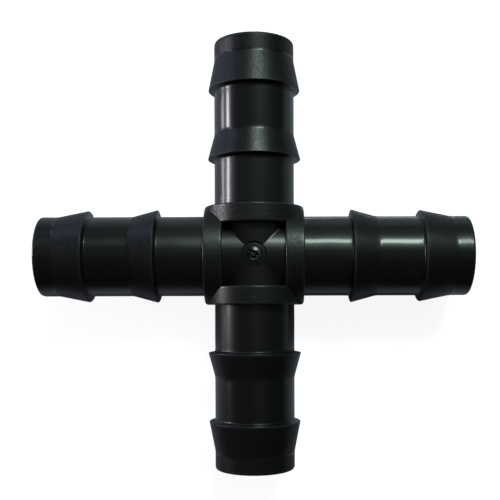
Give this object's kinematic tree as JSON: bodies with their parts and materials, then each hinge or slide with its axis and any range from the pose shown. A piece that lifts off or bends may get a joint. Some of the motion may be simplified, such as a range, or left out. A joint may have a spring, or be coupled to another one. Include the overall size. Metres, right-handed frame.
{
  "type": "barbed hose cross",
  "caption": "Flat cross of barbed hose spigots in black plastic: tubes meet at right angles in a hub framed by mitred collars that stop the hoses.",
  "frame": {"origin": "where the axes of the arms cross, which is the centre of the box", "axes": "+X and +Y along two neighbouring arms, +Z square to all the arms, on the side of the gate stub"},
  "size_m": [0.0914, 0.0914, 0.0212],
  "materials": {
    "satin_plastic": "satin moulded plastic with a fine spark-eroded texture",
    "polished_plastic": "polished plain tube with satin barb cones",
    "torn_gate": "torn plastic at the gate"
  },
  "bodies": {
    "root": {"hub": "satin_plastic", "collar_east": "satin_plastic", "collar_north": "satin_plastic", "collar_west": "satin_plastic", "collar_south": "satin_plastic", "spigot_east": "polished_plastic", "spigot_north": "polished_plastic", "spigot_west": "polished_plastic", "spigot_south": "polished_plastic", "gate_stub": "torn_gate"}
  },
  "joints": []
}
